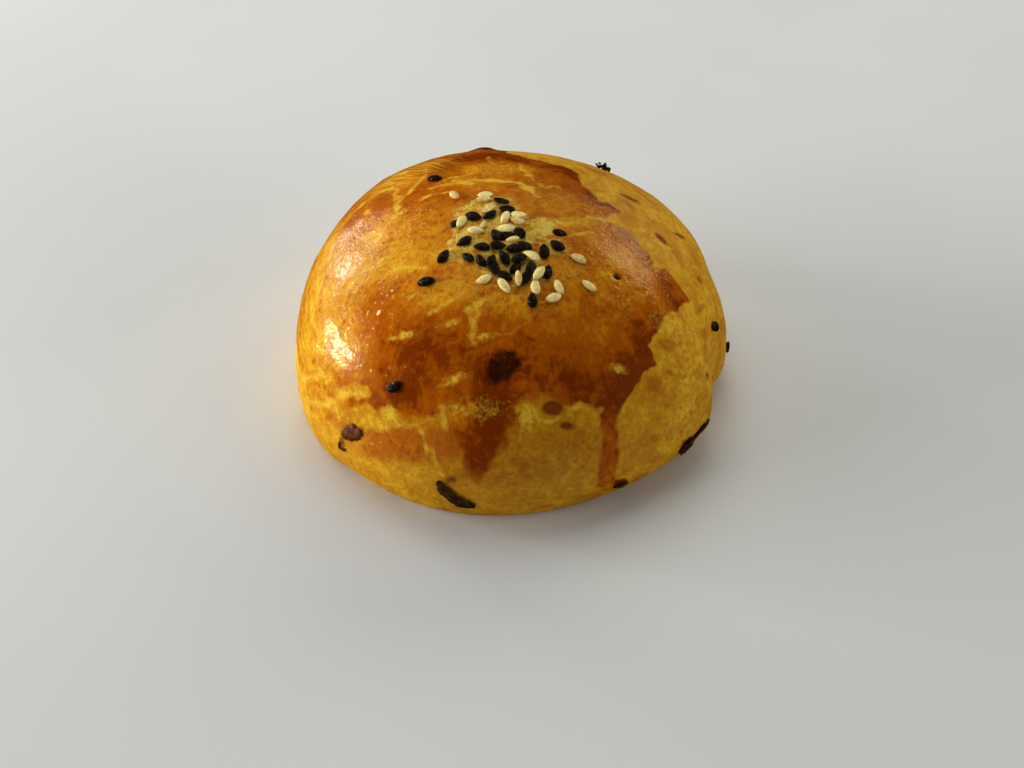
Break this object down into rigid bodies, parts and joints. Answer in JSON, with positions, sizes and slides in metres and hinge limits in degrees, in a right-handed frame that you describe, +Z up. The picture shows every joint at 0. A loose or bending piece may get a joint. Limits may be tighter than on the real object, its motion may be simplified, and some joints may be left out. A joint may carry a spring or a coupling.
{
  "type": "samsa",
  "caption": "Round baked samsa with an egg-washed, browned crust and a cluster of sesame seeds pressed into the top; flat gathered base.",
  "frame": {"origin": "middle of the bounding box at the base, on the surface the samsa stands on", "axes": "+Z up, -Y towards the front, +X to the right seen from the front"},
  "size_m": [0.0968, 0.0982, 0.0452],
  "materials": {
    "crust": "satin",
    "white_sesame": "satin",
    "black_sesame": "satin",
    "char": "matte"
  },
  "bodies": {
    "root": {"crust": "crust"}
  },
  "joints": []
}
